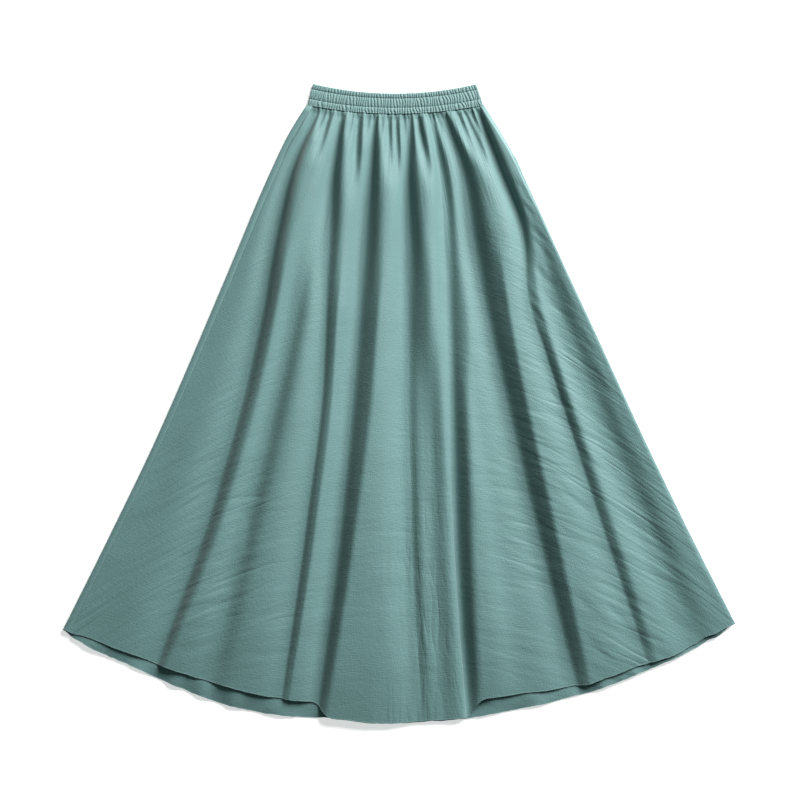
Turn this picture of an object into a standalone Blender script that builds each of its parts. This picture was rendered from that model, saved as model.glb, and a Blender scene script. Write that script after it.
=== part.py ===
"""Maxi skirt with an elastic waistband, laid flat with its back on the surface.

X runs to the right of the garment, Y towards its waist and Z up. The sizes below are
in millimetres, and every mesh is scaled to metres as it is made. The laid-out skirt
is a fan, so its places are an angle about the fan's point (0 straight down, plus to
the right) and a share of the way from the waist seam (0) to the hem (1).
"""

from collections import namedtuple

import bmesh
import bpy
import numpy as np

NAME = "maxi_skirt"
MM = 0.001

CLOTH = 1.5
GAP = 0.3
FRONT_FLOOR = 2 * CLOTH + GAP

FAN_X = -5.42
FAN_Y = 723.2
SEAM_RADIUS = 286.5
SEAM_RISE = 17.5
BAND_RADIUS = 256.5
BAND_RISE = 14.0
RISE_ANGLE = 26.0

# Where the side edges lie: share of the length, then the angle of each edge
Side = namedtuple("Side", "share left right")
SIDES = (
    Side(0.00, -26.30, 26.25),
    Side(0.05, -27.00, 26.95),
    Side(0.10, -26.95, 27.25),
    Side(0.15, -26.70, 26.90),
    Side(0.29, -25.85, 26.28),
    Side(0.43, -25.32, 26.03),
    Side(0.62, -24.95, 25.76),
    Side(0.81, -25.05, 25.76),
    Side(1.00, -25.25, 25.93),
)

# How far the hems lie from the fan's point: the centre of the front hangs lowest
Hem = namedtuple("Hem", "angle front back")
HEMS = (
    Hem(-25.2, 1176, 1177),
    Hem(-23.0, 1169, 1183),
    Hem(-20.5, 1170, 1186),
    Hem(-17.6, 1172, 1192),
    Hem(-12.6, 1176, 1204),
    Hem(-8.5, 1180, 1206),
    Hem(-5.8, 1179, 1203),
    Hem(-4.9, 1200, 1201),
    Hem(0.0, 1204, 1205),
    Hem(5.4, 1200, 1202),
    Hem(6.2, 1175, 1201),
    Hem(9.2, 1174, 1197),
    Hem(14.2, 1181, 1194),
    Hem(17.9, 1175, 1187),
    Hem(20.7, 1179, 1184),
    Hem(23.9, 1171, 1178),
    Hem(25.9, 1172, 1173),
)

# Tops of the folds above the surface, down the length
Crest = namedtuple("Crest", "share height")
CRESTS = (
    Crest(0.00, 11.0),
    Crest(0.03, 18.0),
    Crest(0.08, 24.0),
    Crest(0.18, 29.0),
    Crest(0.42, 30.0),
    Crest(0.75, 26.5),
    Crest(0.92, 24.0),
    Crest(1.00, 18.0),
)

# Angle over which the cloth rises from each edge of the skirt to full height
Rise = namedtuple("Rise", "share left right")
RISES = (
    Rise(0.00, 2.2, 2.2),
    Rise(0.10, 4.2, 3.0),
    Rise(0.20, 6.0, 2.0),
    Rise(0.40, 8.0, 1.2),
    Rise(1.00, 8.0, 1.1),
)

# The long folds are valleys that run from the waist to the hem. Their angle, their depth
# (a share of the crest's height) and the half widths of their left and right walls are
# given at these shares of the length. Lean is how far the crest beside one hangs over.
STATIONS = (0.0, 0.1, 0.22, 0.34, 0.45, 0.7, 1.0)
Fold = namedtuple("Fold", "name angles depths lefts rights lean")
LONG_FOLDS = (
    Fold("left outer", (-22.6, -23.2, -21.4, -19.3, -18.3, -17.5, -17.9),
         (0.94, 0.99, 0.96, 0.95, 0.95, 0.98, 0.94),
         (11, 18, 25, 24, 23, 18, 12), (6, 8, 12, 11, 12, 10, 6.5), 2),
    Fold("left middle", (-15.5, -14.3, -12.3, -10.2, -9.1, -8.5, -8.4),
         (0.88, 0.94, 0.80, 0.72, 0.70, 0.74, 0.72),
         (9, 13, 22, 22, 22, 24, 24), (6, 9, 14, 9, 9, 9, 8), 2),
    Fold("left inner", (-6.1, -5.7, -5.7, -5.3, -5.2, -5.2, -5.7),
         (0.94, 1.00, 1.00, 1.00, 1.00, 1.00, 1.00),
         (10, 14, 21, 20, 20, 18, 14), (6, 9, 18, 16, 16, 11, 7.5), 2),
    Fold("centre", (4.0, 2.8, 2.1, 1.7, 1.4, 1.5, 1.9),
         (0.94, 1.00, 1.00, 1.00, 1.00, 0.86, 0.70),
         (8, 12, 21, 25, 26, 27, 24), (6, 11, 21, 20, 20, 11, 13), 2),
    Fold("right inner", (10.2, 10.4, 9.2, 8.0, 7.2, 5.9, 5.4),
         (0.92, 1.00, 1.00, 0.98, 0.92, 1.00, 1.00),
         (6, 8, 16, 18, 18, 14, 13), (7, 13, 18, 17, 13, 9, 6.5), -10),
    Fold("right middle", (14.1, 14.9, 13.5, 13.2, 13.1, 13.1, 13.3),
         (0.96, 1.00, 1.00, 1.00, 1.00, 1.00, 1.00),
         (11, 16, 25, 28, 30, 34, 34), (7, 16, 20, 19, 17, 15.5, 12), 2),
    Fold("right outer", (23.2, 22.5, 21.3, 19.6, 19.1, 18.9, 18.8),
         (0.90, 1.00, 1.00, 0.45, 0.62, 0.60, 0.50),
         (8, 13, 17, 18, 24, 32, 32), (6, 15, 15, 10, 8, 11, 10), 2),
)
SOFT_FOLDS = (
    Fold("left edge", (-24.0, -23.8, -23.4, -22.8, -22.5, -22.4, -22.4),
         (0.00, 0.00, 0.00, 0.08, 0.12, 0.12, 0.10),
         (30,) * 7, (40,) * 7, 0),
    Fold("left quarter", (-16.0, -15.8, -15.5, -15.0, -14.6, -14.2, -13.9),
         (0.00, 0.00, 0.22, 0.58, 0.70, 0.66, 0.58),
         (16, 16, 16, 16, 18, 24, 26), (20,) * 7, 0),
    Fold("centre lower", (4.0, 4.0, 4.2, 4.2, 3.9, 3.4, 3.2),
         (0.00, 0.00, 0.00, 0.06, 0.45, 0.60, 0.50),
         (20,) * 7, (16,) * 7, 0),
    Fold("right quarter", (10.4, 10.4, 10.4, 10.2, 10.0, 9.8, 9.2),
         (0.00, 0.00, 0.00, 0.08, 0.30, 0.40, 0.44),
         (18,) * 7, (44,) * 7, 0),
    Fold("right edge", (25.0, 25.0, 23.8, 22.8, 22.4, 22.2, 22.4),
         (0.00, 0.00, 0.16, 0.46, 0.54, 0.60, 0.54),
         (12, 12, 16, 20, 24, 28, 28), (14, 14, 16, 17, 20, 24, 24), 0),
)
LEAN_SPREAD = 24.0

# Share of a straight valley wall that is rounded at each end
ROUNDING = 0.2

# The small gathers start at the waist seam and fade out below it
Gather = namedtuple("Gather", "angle drift half_width depth length")
GATHERS = (
    Gather(-25.8, 0.0, 3.6, 0.95, 80),
    Gather(-24.0, 0.6, 3.4, 0.90, 55),
    Gather(-20.9, 0.2, 3.2, 0.60, 50),
    Gather(-18.9, 0.5, 4.0, 0.95, 95),
    Gather(-17.0, 1.0, 3.0, 0.40, 70),
    Gather(-12.8, 0.7, 3.0, 0.50, 70),
    Gather(-10.6, 3.0, 5.0, 1.00, 175),
    Gather(-8.2, 0.5, 3.4, 0.75, 60),
    Gather(-4.0, 0.4, 2.6, 0.50, 50),
    Gather(-2.1, 1.0, 4.0, 0.95, 120),
    Gather(0.1, 0.8, 4.0, 0.95, 160),
    Gather(2.3, 0.5, 4.2, 1.00, 80),
    Gather(6.8, 0.9, 4.6, 1.00, 130),
    Gather(10.9, 0.2, 3.0, 0.80, 50),
    Gather(12.6, 0.3, 4.2, 1.00, 70),
    Gather(18.2, 0.7, 4.0, 1.00, 95),
    Gather(19.9, 0.8, 4.4, 1.00, 125),
    Gather(21.6, 0.0, 4.0, 1.00, 85),
)

# The rolled side edge: distance in from the edge and height, from the top down
Roll = namedtuple("Roll", "inset height")
SEAM_INSET = 10.0
ROLL = (
    Roll(4.0, 7.6),
    Roll(1.2, 6.6),
    Roll(0.0, 3.9),
    Roll(1.2, 1.1),
    Roll(4.0, 0.0),
)
EDGE_TOP = ROLL[0].height

# Columns of the front cloth between one long fold and the next, and its rows
FRONT_COLUMNS = (8, 16, 16, 16, 9, 8, 16, 9)
SIDE_SHARES = tuple(side.share for side in SIDES)
FRONT_SHARES = sorted(SIDE_SHARES + (0.012, 0.03, 0.075, 0.22, 0.36, 0.52, 0.72, 0.91))
BACK_SHARES = sorted(SIDE_SHARES + (0.22, 0.36, 0.52, 0.976))
WAIST_CROWDING = 0.25
FOLD_CROWDING = 0.75

BACK_COLUMNS = 88
WAVE_LIFT = 3.2
WAVE_REACH = 24.0
WAVES_PER_DEGREE = 0.56
PRESSED_ANGLE = 0.9

# Waistband: ribs across three channels with two rows of sewing between them
RIBS = 61
STITCH_LINES = (0.0, 0.265, 0.715, 1.0)
CHANNEL_PLACES = (0.0, 0.22, 0.78)
BAND_TOP_ANGLES = (-27.5, 27.0)
BAND_SEAM_ANGLES = (-26.0, 26.05)
BAND_BACK_THICKNESS = 2.7
BAND_FRONT_FLOOR = BAND_BACK_THICKNESS + GAP
STITCH_LEVEL = 5.3
CHANNEL_PUFF = 2.1
RIB_HEIGHT = 1.7
BAND_END_SHARE = 0.03
BAND_BACK_COLUMNS = 24
BAND_BACK_INSET = 0.006

COLOURS = {
    "waistband_front": (0.235, 0.440, 0.410, 1.0),
    "waistband_back": (0.215, 0.410, 0.380, 1.0),
    "skirt_front": (0.220, 0.425, 0.395, 1.0),
    "skirt_back": (0.200, 0.390, 0.360, 1.0),
}
CLOTH_ROUGHNESS = 0.9


def curve(rows, key, value, at):
    """A smooth curve through one column of a table, with level ends."""
    keys = np.array([getattr(row, key) for row in rows], float)
    values = np.array([getattr(row, value) for row in rows], float)
    return smooth_curve(keys, values, at)


def smooth_curve(keys, values, at):
    """A cubic through the values whose slope at each key follows its neighbours."""
    keys = np.asarray(keys, float)
    values = np.asarray(values, float)
    at = np.clip(at, keys[0], keys[-1])
    slopes = np.gradient(values, keys)
    place = np.clip(np.searchsorted(keys, at, side="right") - 1, 0, len(keys) - 2)
    span = keys[place + 1] - keys[place]
    t = (at - keys[place]) / span
    start = values[place] * (2 * t**3 - 3 * t**2 + 1) + slopes[place] * span * (t**3 - 2 * t**2 + t)
    end = values[place + 1] * (3 * t**2 - 2 * t**3) + slopes[place + 1] * span * (t**3 - t**2)
    return start + end


def smoothstep(value):
    value = np.clip(value, 0.0, 1.0)
    return value * value * (3 - 2 * value)


def arc(middle, rise, angle):
    return middle + rise * (angle / RISE_ANGLE) ** 2


def straight(rows, key, value, at):
    """Straight lines through one column of a table."""
    return np.interp(at, [getattr(row, key) for row in rows], [getattr(row, value) for row in rows])


def side_angles(share):
    return straight(SIDES, "share", "left", share), straight(SIDES, "share", "right", share)


def length_radius(angle, share, hem):
    """Distance from the fan's point at a share of the length."""
    seam = arc(SEAM_RADIUS, SEAM_RISE, angle) + GAP
    return seam + (straight(HEMS, "angle", hem, angle) - seam) * share


def fan_point(angle, radius, height):
    turn = np.radians(angle)
    x = FAN_X + radius * np.sin(turn)
    y = FAN_Y - radius * np.cos(turn)
    return np.stack([x, y, np.broadcast_to(height, x.shape)], axis=-1)


def ramp(value):
    """From 0 to 1 in a straight line whose two ends are rounded."""
    value = np.clip(value, 0, 1)
    middle = (value - ROUNDING / 2) / (1 - ROUNDING)
    foot = value**2 / (2 * ROUNDING * (1 - ROUNDING))
    head = 1 - (1 - value) ** 2 / (2 * ROUNDING * (1 - ROUNDING))
    return np.where(value < ROUNDING, foot, np.where(value > 1 - ROUNDING, head, middle))


def valley(distance, left, right, share=0.0):
    """1 in the middle of a valley. Its right wall is steep, and straight lower down."""
    away = np.abs(distance)
    lower = smoothstep((share - 0.2) / 0.14)
    left_side = 1 / (1 + (away / left) ** 2.7)
    curved = 1 / (1 + (away / right) ** 3.5)
    straight_side = 1 - ramp(away / (2 * right))
    return np.where(distance < 0, left_side, curved + (straight_side - curved) * lower)


def front_surface(angle, share):
    """Outer surface of the front cloth, in the fan, before its side edge rolls."""
    radius = length_radius(angle, share, "front")
    reach = radius * np.pi / 180
    left, right = side_angles(share)
    left_rise = straight(RISES, "share", "left", share)
    right_rise = straight(RISES, "share", "right", share)
    side = smoothstep((angle - left) / left_rise) * smoothstep((right - angle) / right_rise)
    crest = EDGE_TOP + (curve(CRESTS, "share", "height", share) - EDGE_TOP) * side
    fullness = np.ones_like(angle)
    shift = np.zeros_like(angle)
    for fold in LONG_FOLDS + SOFT_FOLDS:
        away = (angle - smooth_curve(STATIONS, fold.angles, share)) * reach
        depth = smooth_curve(STATIONS, fold.depths, share)
        left_half = smooth_curve(STATIONS, fold.lefts, share)
        right_half = smooth_curve(STATIONS, fold.rights, share)
        wall_share = share if fold in LONG_FOLDS else 0.0
        fullness = fullness * (1 - depth * valley(away, left_half, right_half, wall_share))
        hung = fold.lean * depth * smoothstep((share - 0.1) / 0.4)
        leaning = away * np.sign(fold.lean)
        near = np.exp(-((away / LEAN_SPREAD) ** 2)) * smoothstep(leaning / np.minimum(left_half, right_half))
        shift = shift - hung * near
    for gather in GATHERS:
        run = share * (radius - SEAM_RADIUS) / np.maximum(share, 1e-6) / gather.length
        run = np.where(share > 0, run, 0.0)
        away = (angle - gather.angle - gather.drift * np.minimum(run, 1)) * reach
        depth = gather.depth * (1 - smoothstep(run))
        half_width = gather.half_width * (1 + run)
        fullness = fullness * (1 - depth * valley(away, half_width, half_width))
    height = FRONT_FLOOR + (crest - FRONT_FLOOR) * np.clip(fullness, 0, 1)
    turned = angle + shift * smoothstep((fullness - 0.05) / 0.6) / reach
    return turned, radius, height


def spread(start, end, count, crowding):
    """Places from start up to end, crowded towards both."""
    t = np.arange(count) / count
    return start + (end - start) * (t - crowding * np.sin(2 * np.pi * t) / (2 * np.pi))


def front_points():
    """Rows of points from the left seam to the right one, which is underneath."""
    rows = []
    for share in FRONT_SHARES:
        left, right = side_angles(share)
        left_reach = np.degrees(1 / length_radius(left, share, "front"))
        right_reach = np.degrees(1 / length_radius(right, share, "front"))
        lines = [left + (SEAM_INSET + GAP) * left_reach]
        lines += [float(smooth_curve(STATIONS, fold.angles, share)) for fold in LONG_FOLDS]
        lines.append(right - ROLL[0].inset * right_reach)
        crowding = WAIST_CROWDING + (FOLD_CROWDING - WAIST_CROWDING) * smoothstep(share / 0.2)
        places = [
            spread(start, end, count, crowding)
            for start, end, count in zip(lines, lines[1:], FRONT_COLUMNS)
        ]
        angle = np.append(np.concatenate(places), lines[-1])
        turned, radius, height = front_surface(angle, np.full_like(angle, share))
        top = fan_point(turned, radius, height)
        insets = np.array([step.inset for step in ROLL[1:]] + [SEAM_INSET])
        heights = np.array([step.height for step in ROLL[1:]] + [0.0])
        edge = right - insets * right_reach
        under = fan_point(edge, length_radius(edge, share, "front"), heights)
        rows.append(np.concatenate([top, under]))
    return np.array(rows)


def back_lift(angle, radius):
    """Small waves in the strip of the back hem that the front leaves bare."""
    bare = radius - straight(HEMS, "angle", "front", angle) - 2.0
    wave = 0.5 + 0.5 * np.sin(2 * np.pi * WAVES_PER_DEGREE * angle + 1.7 * np.sin(0.55 * angle))
    for fold in LONG_FOLDS:
        wave = wave * (1 - np.exp(-(((angle - fold.angles[-1]) / PRESSED_ANGLE) ** 2)))
    return WAVE_LIFT * wave * smoothstep(bare / WAVE_REACH)


def back_points():
    """Rows from the right seam along the underside, up the left edge and over it."""
    rows = []
    for share in BACK_SHARES:
        left, right = side_angles(share)
        left_reach = np.degrees(1 / length_radius(left, share, "back"))
        right_reach = np.degrees(1 / length_radius(right, share, "back"))
        start = right - (SEAM_INSET + GAP) * right_reach
        end = left + 2 * ROLL[-1].inset * left_reach
        angle = np.linspace(start, end, BACK_COLUMNS)
        radius = length_radius(angle, share, "back")
        under = fan_point(angle, radius, back_lift(angle, radius))
        insets = np.array([step.inset for step in reversed(ROLL)] + [SEAM_INSET])
        heights = np.array([step.height for step in reversed(ROLL)] + [EDGE_TOP])
        edge = left + insets * left_reach
        over = fan_point(edge, length_radius(edge, share, "front"), heights)
        rows.append(np.concatenate([under, over]))
    return np.array(rows)


def band_radius(angle, place):
    """Distance from the fan's point, place 0 at the band's top and 1 at its seam."""
    top = arc(BAND_RADIUS, BAND_RISE, angle)
    return top + (arc(SEAM_RADIUS, SEAM_RISE, angle) - top) * place


def band_angles(place, across):
    """Angles across the band, where across runs from -1 at the left to 1."""
    left = BAND_TOP_ANGLES[0] + (BAND_SEAM_ANGLES[0] - BAND_TOP_ANGLES[0]) * place
    right = BAND_TOP_ANGLES[1] + (BAND_SEAM_ANGLES[1] - BAND_TOP_ANGLES[1]) * place
    return left + (right - left) * (across + 1) / 2


def band_rows():
    """Places down the band with the puff of the channel at each."""
    rows = []
    for start, end in zip(STITCH_LINES, STITCH_LINES[1:]):
        for place in CHANNEL_PLACES:
            rows.append((start + (end - start) * place, np.sin(np.pi * place) ** 0.6))
    rows.append((STITCH_LINES[-1], 0.0))
    return rows


def band_front_points():
    """Outer face of the front of the band, a point on each rib and in each valley."""
    count = 2 * RIBS + 1
    step = np.arange(count)
    across = -1 + 2 * step / (count - 1)
    ribs = np.where(step % 2 == 1, 0.5, -0.5)
    end = np.clip((np.abs(across) - 1 + BAND_END_SHARE) / BAND_END_SHARE, 0, 1)
    roundness = np.sqrt(1 - 0.9 * end**2)
    rows = []
    for place, puff in band_rows():
        sway = 0.25 / RIBS * np.sin(step * 1.9 + 7 * place) * (np.abs(across) < 0.97)
        angle = band_angles(place, across + sway)
        rise = STITCH_LEVEL + CHANNEL_PUFF * puff + RIB_HEIGHT * ribs * (0.25 + 0.75 * puff)
        height = BAND_FRONT_FLOOR + (rise - BAND_FRONT_FLOOR) * roundness
        rows.append(fan_point(angle, band_radius(angle, place), height))
    return np.array(rows)


def band_back_points():
    """Underside of the back of the band, which lies flat on the surface."""
    across = np.linspace(1 - BAND_BACK_INSET, -1 + BAND_BACK_INSET, BAND_BACK_COLUMNS)
    rows = []
    for place in (0.02, 1.0):
        angle = band_angles(place, across)
        rows.append(fan_point(angle, band_radius(angle, place), 0.0))
    return np.array(rows)


def grid_mesh(name, points):
    """An open surface through rows of points, in metres."""
    count_rows, count_columns = points.shape[:2]
    faces = []
    for row in range(count_rows - 1):
        for column in range(count_columns - 1):
            first = row * count_columns + column
            below = first + count_columns
            faces.append((first, below, below + 1, first + 1))
    mesh = bpy.data.meshes.new(name)
    mesh.from_pydata((points.reshape(-1, 3) * MM).tolist(), [], faces)
    mesh.update()
    return mesh


def close_with_plain_face(mesh, level):
    """Drop the mesh's border to a level plane and close it there."""
    work = bmesh.new()
    work.from_mesh(mesh)
    border = [edge for edge in work.edges if edge.is_boundary]
    dropped = bmesh.ops.extrude_edge_only(work, edges=border)["geom"]
    for vertex in dropped:
        if isinstance(vertex, bmesh.types.BMVert):
            vertex.co.z = level * MM
    rim = [edge for edge in work.edges if edge.is_boundary]
    bmesh.ops.holes_fill(work, edges=rim, sides=0)
    bmesh.ops.recalc_face_normals(work, faces=work.faces)
    work.to_mesh(mesh)
    work.free()


def cloth_material(name):
    material = bpy.data.materials.new(name + "_cotton")
    material.use_nodes = True
    shader = material.node_tree.nodes["Principled BSDF"]
    shader.inputs["Base Color"].default_value = COLOURS[name]
    shader.inputs["Roughness"].default_value = CLOTH_ROUGHNESS
    shader.inputs["Metallic"].default_value = 0.0
    return material


def add_object(collection, name, mesh):
    mesh.materials.append(cloth_material(name))
    mesh.shade_smooth()
    part = bpy.data.objects.new(name, mesh)
    collection.objects.link(part)
    return part


def thicken(part, thickness):
    """Give an open surface its wall, inwards from the outer face."""
    wall = part.modifiers.new("wall", "SOLIDIFY")
    wall.thickness = thickness * MM
    wall.offset = -1.0


def waistband_front(collection):
    mesh = grid_mesh("waistband_front", band_front_points())
    close_with_plain_face(mesh, BAND_FRONT_FLOOR)
    add_object(collection, "waistband_front", mesh)


def waistband_back(collection):
    mesh = grid_mesh("waistband_back", band_back_points())
    thicken(add_object(collection, "waistband_back", mesh), BAND_BACK_THICKNESS)


def skirt_front(collection):
    mesh = grid_mesh("skirt_front", front_points())
    thicken(add_object(collection, "skirt_front", mesh), CLOTH)


def skirt_back(collection):
    mesh = grid_mesh("skirt_back", back_points())
    thicken(add_object(collection, "skirt_back", mesh), CLOTH)


def main():
    for old in list(bpy.data.objects):
        bpy.data.objects.remove(old)
    collection = bpy.data.collections.new(NAME)
    bpy.context.scene.collection.children.link(collection)
    waistband_front(collection)
    waistband_back(collection)
    skirt_front(collection)
    skirt_back(collection)


main()
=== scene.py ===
# %% [markdown]
# # A maxi skirt of crinkled cotton crepe, laid flat
#
# The skirt lies on its back on a pale table and is seen from straight above. Its cloth is
# gathered into a ribbed elastic waistband, and opens out below it in seven deep folds, like a fan.
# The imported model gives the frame: plain solids of the same four pieces, which this scene
# replaces with cloth that has finer folds, creases, ribs, sewing and a woven finish.

# %% Load the frame
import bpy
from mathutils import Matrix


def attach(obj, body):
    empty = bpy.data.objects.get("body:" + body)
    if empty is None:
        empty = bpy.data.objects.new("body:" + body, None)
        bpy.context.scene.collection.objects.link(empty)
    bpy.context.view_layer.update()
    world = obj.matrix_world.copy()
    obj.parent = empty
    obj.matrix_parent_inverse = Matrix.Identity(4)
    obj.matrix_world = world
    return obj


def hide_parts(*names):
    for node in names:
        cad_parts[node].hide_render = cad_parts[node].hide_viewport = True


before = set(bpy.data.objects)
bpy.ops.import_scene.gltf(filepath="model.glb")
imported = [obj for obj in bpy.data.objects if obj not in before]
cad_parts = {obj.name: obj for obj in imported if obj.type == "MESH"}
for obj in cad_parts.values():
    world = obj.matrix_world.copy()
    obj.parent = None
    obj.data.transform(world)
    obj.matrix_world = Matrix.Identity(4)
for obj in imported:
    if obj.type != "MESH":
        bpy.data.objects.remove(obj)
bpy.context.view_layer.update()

from collections import namedtuple

import bmesh
import bpy
import numpy as np
from mathutils import Vector

print("solids to dress:", ", ".join(sorted(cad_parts)))

# %% [markdown]
# ## The skirt as a fan
#
# A gathered skirt spreads from its waist, so every place on it is easiest to give as an angle
# about the point where its sides would meet (0 straight down, plus to the right) and a share of
# the way from the waist seam (0) to the hem (1). Sizes are in millimetres, and a mesh is scaled
# to metres as it is made. Short tables hold what was measured, and smooth curves join them.

# %% Sizes of the fan
MM = 0.001
# The fan's point, the seam's distance from it in the middle, and how much more it is at 26 degrees
FAN_X = -5.42
FAN_Y = 723.2
SEAM_RADIUS = 285.6
SEAM_RISE = 17.5
RISE_ANGLE = 26.0
# Wall of the cloth, floor of the front's valleys, and how far in from the edge the side seams lie
CLOTH = 0.6
FRONT_FLOOR = 3.3
SEAM_INSET = 10.0

Side = namedtuple("Side", "share left right")
SIDES = [Side(*row) for row in (
    (0, -26.3, 26.25), (0.05, -27, 26.95), (0.1, -26.95, 27.25),
    (0.15, -26.7, 26.9), (0.29, -25.85, 26.28), (0.43, -25.32, 26.03),
    (0.62, -24.95, 25.76), (0.81, -25.05, 25.76), (1, -25.25, 25.93),
)]

# Distance of the hems from the fan's point; the centre of the front hangs lowest
Hem = namedtuple("Hem", "angle front back")
HEMS = [Hem(*row) for row in (
    (-25.2, 1176, 1177), (-23, 1169, 1183), (-20.5, 1170, 1186), (-17.6, 1172, 1192),
    (-12.6, 1176, 1204), (-8.5, 1180, 1206), (-5.8, 1179, 1203), (-4.9, 1200, 1201),
    (0, 1204, 1205), (5.4, 1200, 1202), (6.2, 1175, 1201), (9.2, 1174, 1197),
    (14.2, 1181, 1194), (17.9, 1175, 1187), (20.7, 1179, 1184), (23.9, 1171, 1178),
    (25.9, 1172, 1173),
)]
# The hem's corners are rounded over these angles, and thin cloth makes it waver by this much
HEM_ROUNDING = (-0.35, -0.18, 0.0, 0.18, 0.35)
HEM_WAVES = 1.5
NOISE_CELLS = 256


# %% Curves through the tables
def smoothstep(value):
    value = np.clip(value, 0.0, 1.0)
    return value * value * (3 - 2 * value)


def smooth_curve(keys, values, at):
    """A cubic through the values whose slope at each key follows its neighbours."""
    keys = np.asarray(keys, float)
    values = np.asarray(values, float)
    at = np.clip(at, keys[0], keys[-1])
    slopes = np.gradient(values, keys)
    place = np.clip(np.searchsorted(keys, at, side="right") - 1, 0, len(keys) - 2)
    span = keys[place + 1] - keys[place]
    t = (at - keys[place]) / span
    start = values[place] * (2 * t**3 - 3 * t**2 + 1) + slopes[place] * span * (t**3 - 2 * t**2 + t)
    end = values[place + 1] * (3 * t**2 - 2 * t**3) + slopes[place + 1] * span * (t**3 - t**2)
    return start + end


def column(rows, name):
    return [getattr(row, name) for row in rows]


def curve_of(rows, name, share):
    """The smooth curve through one column of a table whose rows each have a share."""
    return smooth_curve(column(rows, "share"), column(rows, name), share)


def side_angles(share):
    return curve_of(SIDES, "left", share), curve_of(SIDES, "right", share)


def soft_noise(u, v, seed):
    """Smooth random relief from -1 to 1, with one bump for each unit of u and of v."""
    table = np.random.default_rng(seed).uniform(-1, 1, (NOISE_CELLS, NOISE_CELLS))
    u_cell = np.floor(u).astype(int)
    v_cell = np.floor(v).astype(int)
    u_part = smoothstep(u - u_cell)
    v_part = smoothstep(v - v_cell)
    near_v = v_cell % NOISE_CELLS
    far_v = (v_cell + 1) % NOISE_CELLS
    near, far = (table[cell % NOISE_CELLS, near_v] * (1 - v_part) + table[cell % NOISE_CELLS, far_v] * v_part
                 for cell in (u_cell, u_cell + 1))
    return near * (1 - u_part) + far * u_part


def hem_radius(angle, hem):
    """The hem's distance from the fan's point, its corners rounded, with small waves."""
    sums = [np.interp(angle + step, column(HEMS, "angle"), column(HEMS, hem)) for step in HEM_ROUNDING]
    row = np.zeros_like(angle) + 0.5
    small = soft_noise(angle * 1.15 + 60, row, 51) + 0.4 * soft_noise(angle * 3.1 + 90, row, 52)
    return sum(sums) / len(sums) + HEM_WAVES * small


def seam_radius(angle):
    return SEAM_RADIUS + SEAM_RISE * (angle / RISE_ANGLE) ** 2


def length_radius(angle, share, hem):
    seam = seam_radius(angle) + 0.3
    return seam + (hem_radius(angle, hem) - seam) * share


def fan_point(angle, radius, height):
    turn = np.radians(angle)
    x = FAN_X + radius * np.sin(turn)
    y = FAN_Y - radius * np.cos(turn)
    return np.stack([x, y, np.broadcast_to(height, x.shape)], axis=-1)


print("length at the centre:", round(float(hem_radius(0.0, "front") - seam_radius(0.0))), "mm")

# %% [markdown]
# ## Folds and gathers
#
# Cloth that is gathered at the waist falls into valleys. Seven run the whole way to the hem, five
# more are only soft dips, and many short ones start at the seam and fade out below it. They
# could be left to a cloth simulation, but then they would fall anywhere. Each is a line in a
# table here, so it lies where it does on the real skirt. A valley is soft on its left. Its right
# wall is steep, and straight lower down, and the crest beside it hangs over and shades it. The
# sewing holds the folds up at the seam, so they deepen over the first millimetres below it.

# %% The long folds and the gathers
Crest = namedtuple("Crest", "share height")
CRESTS = [Crest(*row) for row in (
    (0, 7.2), (0.006, 10.4), (0.03, 16.5), (0.08, 22.5), (0.18, 29),
    (0.42, 30), (0.75, 26), (0.92, 20.5), (1, 13),
)]
# Height at the skirt's edges; the right one stands taller lower down
EDGE_TOP = 7.6
RIGHT_EDGE_TOP = 12.5

# Angle over which the cloth rises from each edge of the skirt to full height
Rise = namedtuple("Rise", "share left right")
RISES = [Rise(*row) for row in (
    (0, 2.2, 1.4), (0.1, 4.2, 1), (0.2, 6, 0.5), (0.4, 8, 0.3), (1, 8, 0.25),
)]

STATIONS = (0.0, 0.1, 0.22, 0.34, 0.45, 0.7, 1.0)
Fold = namedtuple("Fold", "name angles depths lefts rights lean")
LONG_FOLDS = (
    Fold("left outer", (-22.6, -23.2, -21.4, -19.3, -18.3, -17.5, -17.9),
         (0.94, 0.99, 0.96, 0.95, 1, 1, 1),
         (6, 16, 25, 30, 36, 42, 42), (4, 8, 12, 11.5, 13, 12, 8), 2),
    Fold("left middle", (-15.8, -14.3, -12.3, -10.2, -9.1, -8.5, -8.4),
         (0.88, 0.94, 0.74, 0.64, 0.68, 0.72, 0.66),
         (6, 13, 22, 22, 24, 28, 28), (4, 9, 15, 10, 9.5, 9, 7), 2),
    Fold("left inner", (-6.1, -5.7, -5.7, -5.3, -5.2, -5.2, -5.7), (0.94, 1, 1, 1, 1, 1, 1),
         (6, 13, 21, 20, 24, 26, 24), (4.5, 9, 17, 15.5, 16, 12, 8), 2),
    Fold("centre", (4.3, 2.8, 2.1, 1.8, 1.6, 1.5, 1.9), (0.94, 1, 1, 1, 1, 0.86, 0.7),
         (6, 11, 20, 25, 28, 30, 30), (4.5, 10, 18, 17.5, 17, 12, 11), 2),
    Fold("right inner", (10.2, 10.4, 9.2, 8, 7.2, 5.9, 5.4), (0.92, 1, 1, 0.98, 0.92, 1, 1),
         (4, 8, 15, 18, 18, 14, 13), (5, 12, 15, 16, 13, 11, 8), -10),
    Fold("right middle", (14.1, 14.9, 13.5, 13.2, 13.1, 13.1, 13.3), (0.96, 1, 1, 1, 1, 1, 1),
         (7, 15, 25, 28, 32, 40, 40), (5, 14, 20, 18, 16, 15, 12), 2),
    Fold("right outer", (23.8, 22.9, 22.4, 19.4, 19.2, 18.9, 18.8),
         (0.9, 0.66, 0.54, 0.36, 0.5, 0.48, 0.46),
         (5, 9, 13, 18, 24, 32, 32), (4.5, 8, 8, 9, 7.5, 9, 8), 2),
)
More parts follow.
